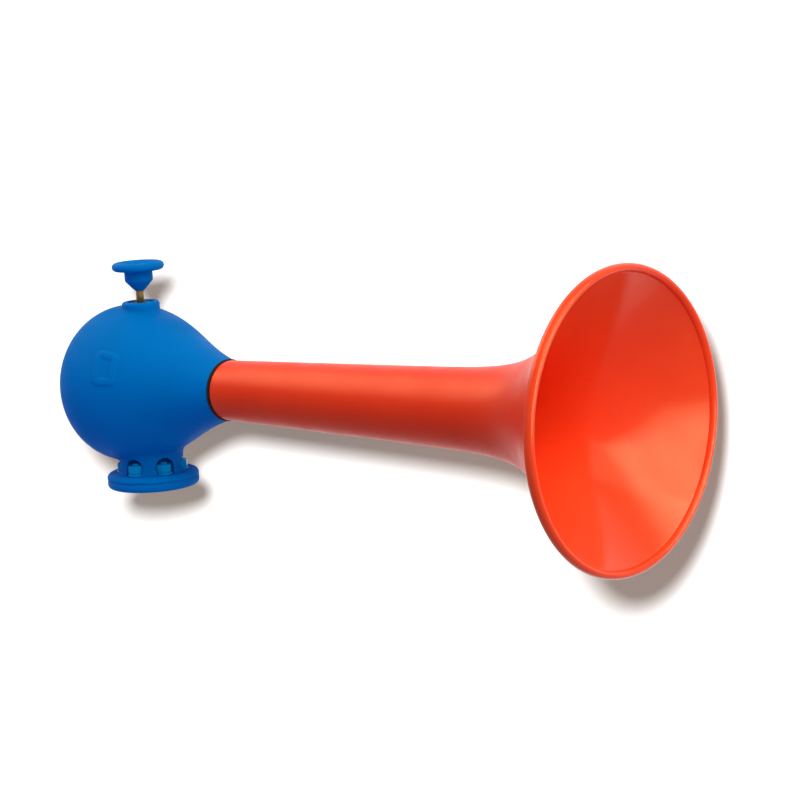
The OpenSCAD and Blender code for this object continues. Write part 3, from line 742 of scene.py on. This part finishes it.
plate_outline += arc((PLATE_R - PLATE_EDGE, PLATE_EDGE), PLATE_EDGE, start=-90, end=0, steps=14)
plate_outline += arc((PLATE_R - PLATE_EASE, PLATE_T - PLATE_EASE), PLATE_EASE, start=0, end=90, steps=5)
plate_outline += [
    (PLATE_SPIGOT_R, PLATE_T), (PLATE_SPIGOT_R, PLATE_SPIGOT_TOP - PLATE_EASE),
    (PLATE_SPIGOT_R - PLATE_EASE, PLATE_SPIGOT_TOP), (AIRWAY_R + AIRWAY_EASE, PLATE_SPIGOT_TOP),
    (AIRWAY_R, PLATE_SPIGOT_TOP - AIRWAY_EASE), (AIRWAY_R, PIPE_L), (ROOT_CIRCLE_R, PIPE_L)]
THREAD_ROWS, MOUTH_ROWS, AROUND, CREST_FLAT = 110, 6, 128, 0.1
plate_mesh = turned("inlet_plate", plate_outline, AROUND)
thread = bmesh.new()
thread.from_mesh(plate_mesh)
# The plain wall of the hole makes way for the thread
plain_wall = []
for face in thread.faces:
    middle = face.calc_center_median()
    if middle.to_2d().length < PIPE_MOUTH_R and middle.z < PIPE_L - 1e-5:
        plain_wall.append(face)
bmesh.ops.delete(thread, geom=plain_wall, context="FACES")
rings = []
for i in range(THREAD_ROWS + 1):
    z = PIPE_L * i / THREAD_ROWS
    entered = min(i / MOUTH_ROWS, 1)
    ring = []
    for k in range(AROUND):
        a = 2 * math.pi * k / AROUND
        wave = abs(((z / PIPE_PITCH - a / (2 * math.pi)) % 1.0) * 2 - 1)
        radius = PIPE_R + PIPE_DEPTH * min(max((wave - CREST_FLAT) / (1 - 2 * CREST_FLAT), 0), 1)
        radius = radius * entered + PIPE_MOUTH_R * (1 - entered)
        if i == THREAD_ROWS:
            radius = ROOT_CIRCLE_R
        ring.append(thread.verts.new((radius * math.cos(a), radius * math.sin(a), z)))
    rings.append(ring)
for low_ring, high_ring in zip(rings, rings[1:]):
    for k in range(AROUND):
        thread.faces.new((low_ring[k], high_ring[k], high_ring[k - 1], low_ring[k - 1]))
bmesh.ops.remove_doubles(thread, verts=thread.verts, dist=1e-6)
bmesh.ops.recalc_face_normals(thread, faces=thread.faces)
thread.to_mesh(plate_mesh)
thread.free()
smooth(plate_mesh, TURNED_SHARP)
plate = piece("inlet_plate_turned", plate_mesh, blue_enamel)
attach(plate, "horn")
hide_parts("inlet_plate")

# Studs, washers and nuts: six steel studs screwed into the plate, each with a washer and a nut in
# its niche, painted over with the casting.


def on_stud_ring(tree, shape):
    """One copy of the shape at each stud."""
    ring = tree.nodes.new("GeometryNodeMeshCircle")
    ring.inputs["Vertices"].default_value = STUDS
    ring.inputs["Radius"].default_value = STUD_RING_R / 1000
    turn_ring = tree.nodes.new("GeometryNodeTransform")
    turn_ring.inputs["Rotation"].default_value = (0, 0, STUD_TURN)
    copies = tree.nodes.new("GeometryNodeInstanceOnPoints")
    copies.inputs["Rotation"].default_value = (0, 0, STUD_TURN + math.pi / STUDS)
    tree.links.new(ring.outputs["Mesh"], turn_ring.inputs["Geometry"])
    tree.links.new(turn_ring.outputs[0], copies.inputs["Points"])
    tree.links.new(shape, copies.inputs["Instance"])
    return copies.outputs[0]


def stud_fitting(name, node, tree, shape, sizes):
    """The piece that takes a node's place with one copy of the shape at each stud."""
    made = grown(name, tree, on_stud_ring(tree, shape), sizes, lit_bolt_enamel)
    smooth(made.data, BOLT_SHARP)
    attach(made, "horn")
    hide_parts(node)


# The fittings' blue is a lighter copy of the casting's blue, a painted highlight on their facets
lit_bolt_enamel = enamel("lit_bolt_enamel", (0.0, 0.27, 0.66), (0.0, 0.23, 0.60), rough=0.3, grain=900,
                     peel=0.05, level=0.4, tint=(0.0, 0.8, 1.0))
BOLT_SHARP = 32
# Gaps of what is screwed on, of what slides and of what is loose, as in the solids
FIT_GAP, RUN_GAP, LOOSE_GAP = 0.00003, 0.00005, 0.0004
STUD_R, STUD_LOW = STUD_HOLE_R / 1000 - LOOSE_GAP, span("flange_studs", "z")[0]
stud_sizes = {"Radius": STUD_R, "Low end": STUD_LOW, "High end": STUD_TOP / 1000, "Pitch": 0.00127,
              "Depth": 0.00065, "Point": 0.0007}
stud_tree, size = new_tree("threaded_stud", stud_sizes)
STUD_ROWS, STUD_AROUND = 162, 20
sheet, turn, row = sheet_of(stud_tree, STUD_AROUND, STUD_ROWS + 2)
level = row.ramp(1, STUD_ROWS + 1)
z = size["Low end"] + (size["High end"] - size["Low end"]) * level
crest = (z / size["Pitch"] - turn / (2 * math.pi)).sum("FRACT") * 2 - 1
r = size["Radius"] - size["Depth"] * crest.sum("ABSOLUTE").ramp(0.12, 0.9)
r = r.sum("MINIMUM", size["Radius"] - size["Point"] + (size["High end"] - z))
r = r * row.ramp(0, 1) * (1 - row.ramp(STUD_ROWS + 1, STUD_ROWS + 2))
stud_shape = bent(stud_tree, sheet, r * turn.cos(), r * turn.sin(), z)
stud_fitting("stud_set", "flange_studs", stud_tree, stud_shape, stud_sizes)

WASHER_LOW, WASHER_TOP = span("flange_washers", "z")
washer_sizes = {"Hole radius": STUD_HOLE_R / 1000, "Radius": 0.0066, "Low face": WASHER_LOW,
                "Thickness": WASHER_TOP - WASHER_LOW, "Edge": 0.0004}
washer_tree, size = new_tree("flat_washer", washer_sizes)
# Rows at which the low edge, the side, the high edge, the top face and the hole start
LOW_ROW, SIDE_ROW, HIGH_ROW, TOP_ROW, HOLE_ROW, WASHER_ROWS = 1, 5, 6, 10, 12, 16
sheet, turn, row = sheet_of(washer_tree, across=48, rows=WASHER_ROWS)
low_edge = row.ramp(LOW_ROW, SIDE_ROW) * (math.pi / 2)
high_edge = row.ramp(HIGH_ROW, TOP_ROW) * (math.pi / 2)
face_w = size["Radius"] - size["Edge"] - size["Hole radius"]
r = (size["Hole radius"] + face_w * (row.ramp(0, LOW_ROW) - row.ramp(TOP_ROW, HOLE_ROW))
     + size["Edge"] * (low_edge.sin() + high_edge.cos() - 1))
r = row.past(HOLE_ROW, r, size["Hole radius"])
z = (size["Low face"] + size["Edge"] * (1 - low_edge.cos() + high_edge.sin())
     + (size["Thickness"] - size["Edge"] * 2) * row.ramp(SIDE_ROW, HIGH_ROW)
     - size["Thickness"] * row.ramp(HOLE_ROW, WASHER_ROWS))
washer_shape = bent(washer_tree, sheet, r * turn.cos(), r * turn.sin(), z)
stud_fitting("washer_set", "flange_washers", washer_tree, washer_shape, washer_sizes)


def hexagon_nut(name):
    """Tree of a nut: six flats, with the corners turned off at both ends and a plain hole."""
    tree, size = new_tree(name, ("Flats", "Height", "Low face", "Hole radius", "Corner cut"))
    # Rows at which the side, the top face and the hole start, and the rise of the cone at the corners
    side_row, top_row, hole_row, rows, cone_rise = 4, 18, 22, 28, 1.9
    sheet, turn, row = sheet_of(tree, across=96, rows=rows)
    z = size["Low face"] + size["Height"] * (row.ramp(side_row, top_row) - row.ramp(hole_row, rows))
    side = (turn / (math.pi / 3)).sum("FRACT") * (math.pi / 3) - math.pi / 6
    hexagon = size["Flats"] * 0.5 / side.cos()
    from_end = (z - size["Low face"]).sum("MINIMUM", size["Low face"] + size["Height"] - z)
    cone = size["Flats"] * 0.5 - size["Corner cut"] * 0.25 + from_end * cone_rise
    across = hexagon.sum("MINIMUM", cone) - size["Hole radius"]
    r = size["Hole radius"] + across * (row.ramp(0, side_row) - row.ramp(top_row, hole_row))
    return tree, bent(tree, sheet, r * turn.cos(), r * turn.sin(), z)


nut_tree, nut_shape = hexagon_nut("stud_nut")
NUT_LOW, NUT_TOP = span("flange_nuts", "z")
nut_sizes = {"Flats": 0.0113, "Height": NUT_TOP - NUT_LOW, "Low face": NUT_LOW,
             "Hole radius": STUD_R + FIT_GAP, "Corner cut": 0.0012}
stud_fitting("nut_set", "flange_nuts", nut_tree, nut_shape, nut_sizes)

# Gland: a bronze guide and two rings of packing round the stem, squeezed by a bronze nut in the
# boss, with a rubber wiper on the nut that keeps spray out.
guide_bronze = metal("guide_bronze", (0.42, 0.26, 0.11), (0.26, 0.15, 0.06),
                     rough=0.35, scratch=0.15, turned=ALONG_Z)
gland_bronze = metal("gland_bronze", (0.30, 0.19, 0.08), (0.16, 0.10, 0.045),
                     rough=0.4, scratch=0.15, turned=ALL_WAYS)
finish_node(guide_bronze, "stem_guide")
finish_node(pressed_fibre, "stem_packing")
gland_tree, gland_shape = hexagon_nut("gland_head")
(GLAND_LOW, GLAND_TOP), GLAND_SEAT = span("gland_nut", "z"), RECESS_Z / 1000
GLAND_HOLE_R, BARREL_R, BARREL_EDGE = STEM_R + LOOSE_GAP, 0.00797, 0.0006
BARREL_TOP = GLAND_SEAT - RUN_GAP
gland_sizes = {"Flats": 0.017, "Height": GLAND_TOP - GLAND_SEAT, "Low face": GLAND_SEAT,
               "Hole radius": GLAND_HOLE_R, "Corner cut": 0.0016}
gland = grown("gland_nut_turned", gland_tree, gland_shape, gland_sizes, gland_bronze)
barrel_outline = [
    (GLAND_HOLE_R, GLAND_LOW), (BARREL_R - BARREL_EDGE, GLAND_LOW), (BARREL_R, GLAND_LOW + BARREL_EDGE),
    (BARREL_R, BARREL_TOP), (GLAND_HOLE_R, BARREL_TOP)]
barrel = turned("gland_barrel", barrel_outline, around=96)
whole = bmesh.new()
whole.from_mesh(gland.data)
whole.from_mesh(barrel)
whole.to_mesh(gland.data)
whole.free()
smooth(gland.data, BOLT_SHARP)
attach(gland, "horn")
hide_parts("gland_nut")
WIPER_LOW, WIPER_TOP = span("stem_wiper", "z")
WIPER_IN, WIPER_R, WIPER_LIP_R, WIPER_EDGE = STEM_R + RUN_GAP, 0.006, 0.0042, 0.0004
wiper_outline = [(WIPER_IN, WIPER_LOW), (WIPER_R, WIPER_LOW), (WIPER_R, WIPER_LOW + WIPER_EDGE),
                 (WIPER_LIP_R, WIPER_TOP), (WIPER_IN, WIPER_TOP)]
wiper = piece("wiper", turned("wiper", wiper_outline, around=64), black_rubber)
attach(wiper, "horn")
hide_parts("stem_wiper")

# Knob: turned palm button with a dished top, a rounded rim, a straight hub and a tapered foot,
# screwed on the stem and painted blue.


def eased(before, corner, after, radius, steps=8):
    """Arc of that radius in place of the corner between two straight runs."""
    before, corner, after = (np.array(p, float) for p in (before, corner, after))
    back = (before - corner) / np.linalg.norm(before - corner)
    on = (after - corner) / np.linalg.norm(after - corner)
    half = math.acos(back @ on) / 2
    middle = corner + (back + on) / np.linalg.norm(back + on) * radius / math.sin(half)
    start = corner + back * radius / math.tan(half) - middle
    end = corner + on * radius / math.tan(half) - middle
    swing = math.pi - 2 * half
    points = []
    for t in np.linspace(0, 1, steps):
        out = math.sin(swing * (1 - t)) * start + math.sin(swing * t) * end
        points.append(tuple(middle + out / math.sin(swing)))
    return points


KNOB_R, RIM, HUB_R, FOOT_R, FOOT_L = span("knob", "y")[1], 0.0032, 0.0108, 0.0036, 0.0076
FOOT_Z, KNOB_TOP = span("knob", "z")
HUB_Z, KNOB_Z, RIM_RISE = FOOT_Z + FOOT_L, KNOB_TOP - RIM, 0.001
HUB_TOP = KNOB_Z - RIM - RIM_RISE
DISH, LIP, FLOOR_R = 0.003, 0.0005, 0.0105
knob_bore = STEM_END_R + FIT_GAP
rim_arc = arc((KNOB_R - RIM, KNOB_Z), RIM, start=-75, end=90, steps=22)
knob_corners = [(knob_bore, FOOT_Z), (FOOT_R, FOOT_Z), (HUB_R, HUB_Z), (HUB_R, HUB_TOP), rim_arc[0]]
knob_outline = [(knob_bore, STEM_TOP), (knob_bore, FOOT_Z)]
# Radius at the foot's edge, at the hub's lower end and under the rim
for i, radius in enumerate((0.0005, 0.003, 0.0008)):
    knob_outline += eased(*knob_corners[i:i + 3], radius)
knob_outline += rim_arc
FLOOR_Z = KNOB_TOP - DISH
dish_corners = [rim_arc[-1], (KNOB_R - RIM - LIP, KNOB_TOP), (FLOOR_R, FLOOR_Z), (0, FLOOR_Z)]
knob_outline += eased(*dish_corners[:3], radius=0.001) + eased(*dish_corners[1:], radius=0.006)
knob_outline += [(0, FLOOR_Z), (0, STEM_TOP)]
knob = piece("palm_knob", turned("palm_knob", knob_outline), blue_enamel)
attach(knob, "plunger")
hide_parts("knob")

# Stage: a plain white sheet close behind the horn, three soft boxes, two boxes that show only as
# gloss on the trumpet, and two lamps for the sheet alone, of which one throws the horn's shadow.
SHEET_NORMAL = Vector((0.14, -1.0, 0.0)).normalized()
SHEET_POINT, SHEET_HALF = Vector((0.0, 0.150, 0.08)), 0.62
side = SHEET_NORMAL.cross(Vector((0, 0, 1))).normalized() * SHEET_HALF
rise = side.cross(SHEET_NORMAL)
mesh = bpy.data.meshes.new("white_sheet")
corners = [SHEET_POINT + side * a + rise * b for a, b in ((-1, -1), (-1, 1), (1, 1), (1, -1))]
mesh.from_pydata(corners, [], [(0, 1, 2, 3)])
white_sheet = piece("white_sheet", mesh)
sheet_white = bpy.data.materials.new("sheet_white")
sheet_white.use_nodes = True
tree = sheet_white.node_tree


def shown_or_lighting(tree, shown, lighting):
    """One shader where the surface is seen or mirrored, the other where it only lights the horn."""
    ray = tree.nodes.new("ShaderNodeLightPath")
    seen = ray.outputs["Is Camera Ray"]
    for name in ("Is Glossy Ray", "Is Transmission Ray"):
        either = tree.nodes.new("ShaderNodeMath")
        either.operation = "MAXIMUM"
        tree.links.new(seen, either.inputs[0])
        tree.links.new(ray.outputs[name], either.inputs[1])
        seen = either.outputs[0]
    choose = tree.nodes.new("ShaderNodeMixShader")
    tree.links.new(seen, choose.inputs[0])
    tree.links.new(lighting.outputs[0], choose.inputs[1])
    tree.links.new(shown.outputs[0], choose.inputs[2])
    return choose


ground = tree.nodes.new("ShaderNodeBsdfDiffuse")
ground.inputs["Color"].default_value = (0.80, 0.71, 0.53, 1)
dim_ground = tree.nodes.new("ShaderNodeBsdfDiffuse")
dim_ground.inputs["Color"].default_value = (0.16, 0.16, 0.16, 1)
clear = tree.nodes.new("ShaderNodeBsdfTransparent")
one_side = tree.nodes.new("ShaderNodeMixShader")
tree.links.new(tree.nodes.new("ShaderNodeNewGeometry").outputs["Backfacing"], one_side.inputs[0])
tree.links.new(shown_or_lighting(tree, ground, dim_ground).outputs[0], one_side.inputs[1])
tree.links.new(clear.outputs[0], one_side.inputs[2])
tree.links.new(one_side.outputs[0], tree.nodes["Material Output"].inputs["Surface"])
mesh.materials.append(sheet_white)

world = bpy.data.worlds.new("studio")
bpy.context.scene.world = world
world.use_nodes = True
tree = world.node_tree
backdrop = tree.nodes["Background"]
backdrop.inputs["Color"].default_value = (1, 1, 1, 1)
backdrop.inputs["Strength"].default_value = 1.0
ambient = tree.nodes.new("ShaderNodeBackground")
ambient.inputs["Color"].default_value = (0.60, 0.71, 1.0, 1)
ambient.inputs["Strength"].default_value = 0.48
room = shown_or_lighting(tree, backdrop, ambient)
tree.links.new(room.outputs[0], tree.nodes["World Output"].inputs["Surface"])

CENTRE = Vector((0.20, 0.0, 0.08))


def lamp(name, kind, place, power, aim=CENTRE):
    """A lamp that the camera doesn't see, turned to its aim."""
    data = bpy.data.lights.new(name, kind)
    data.energy = power
    made = bpy.data.objects.new(name, data)
    bpy.context.collection.objects.link(made)
    made.location = place
    made.rotation_euler = (aim - place).to_track_quat("-Z", "Y").to_euler()
    made.visible_camera = False
    return made


MOUTH = Vector((0.43, 0.03, 0.06))
OFF_BELL = (0.927, -0.032, 0.375)
BOX_COLOUR = (0.95, 1.0, 0.60)
# Name, aim, way from there, distance, width, height and power of each box, and whether it lights
box_sizes = (
    ("soft_box", MOUTH, OFF_BELL, 1.3, 1.82, 1.38, 12.5, True),
    ("bell_gloss_box", MOUTH, OFF_BELL, 1.3, 1.72, 1.36, 225, False),
    ("top_box", CENTRE, (-0.69, -0.10, 0.72), 1.3, 1.4, 1.2, 9, True),
    ("tube_gloss_box", CENTRE, (-0.66, -0.32, 0.68), 1.3, 1.2, 0.8, 15, False),
    ("front_box", CENTRE, (0.50, -0.25, 0.83), 1.5, 1.2, 1.0, 13, True))
lamp_reach = []
for name, aim, way, far, wide, tall, power, soft in box_sizes:
    box = lamp(name, "AREA", aim + Vector(way) * far, power, aim)
    box.data.shape, box.data.size, box.data.size_y = "RECTANGLE", wide, tall
    box.data.color = BOX_COLOUR
    box.visible_diffuse = soft
    lamp_reach.append((box, white_sheet, "EXCLUDE") if soft else (box, horn, "INCLUDE"))

# Camera: a long lens at the photograph's angle, a little tilted. The two lamps for the sheet stand
# above it and to its left.
turn, tip, roll = math.radians(41.514), math.radians(8.994), math.radians(-3.403)
level = np.array([[math.cos(turn), math.sin(turn), 0], [0, 0, -1], [-math.sin(turn), math.cos(turn), 0]])
tilt = np.array([[1, 0, 0], [0, math.cos(tip), -math.sin(tip)], [0, math.sin(tip), math.cos(tip)]])
lean = np.array([[math.cos(roll), -math.sin(roll), 0], [math.sin(roll), math.cos(roll), 0], [0, 0, 1]])
right, down, ahead = lean @ tilt @ level
camera = bpy.data.objects.new("camera", bpy.data.cameras.new("camera"))
bpy.context.collection.objects.link(camera)
camera.data.sensor_width, camera.data.lens, camera.data.clip_end = 36, 120, 50
CAMERA_PLACE = Vector((1.4907, -1.3916, 0.3763))
facing = Matrix(np.stack([right, -down, -ahead], 1).tolist()).to_4x4()
camera.matrix_world = Matrix.Translation(CAMERA_PLACE) @ facing
bpy.context.scene.camera = camera
LAMP_LEFT, LAMP_UP = 0.14, 0.18
lamp_place = CAMERA_PLACE - Vector((LAMP_LEFT * right + LAMP_UP * down).tolist())
sheet_lamp = lamp("sheet_lamp", "POINT", lamp_place, power=490)
sheet_lamp.data.shadow_soft_size = 0.1
sheet_lamp.data.color = (0.66, 0.75, 1.0)
sheet_fill = lamp("sheet_fill", "SUN", lamp_place, power=0.5)
sheet_fill.data.color = (1.0, 0.5, 0.1)
lamp_reach += [(sheet_lamp, white_sheet, "INCLUDE"), (sheet_fill, white_sheet, "INCLUDE")]
for made, target, state in lamp_reach:
    reach = bpy.data.collections.new(made.name + "_reach")
    reach.objects.link(target)
    reach.collection_objects[0].light_linking.link_state = state
    made.light_linking.receiver_collection = reach
sheet_fill.light_linking.blocker_collection = sheet_fill.light_linking.receiver_collection

bpy.context.scene.view_settings.view_transform = "Standard"
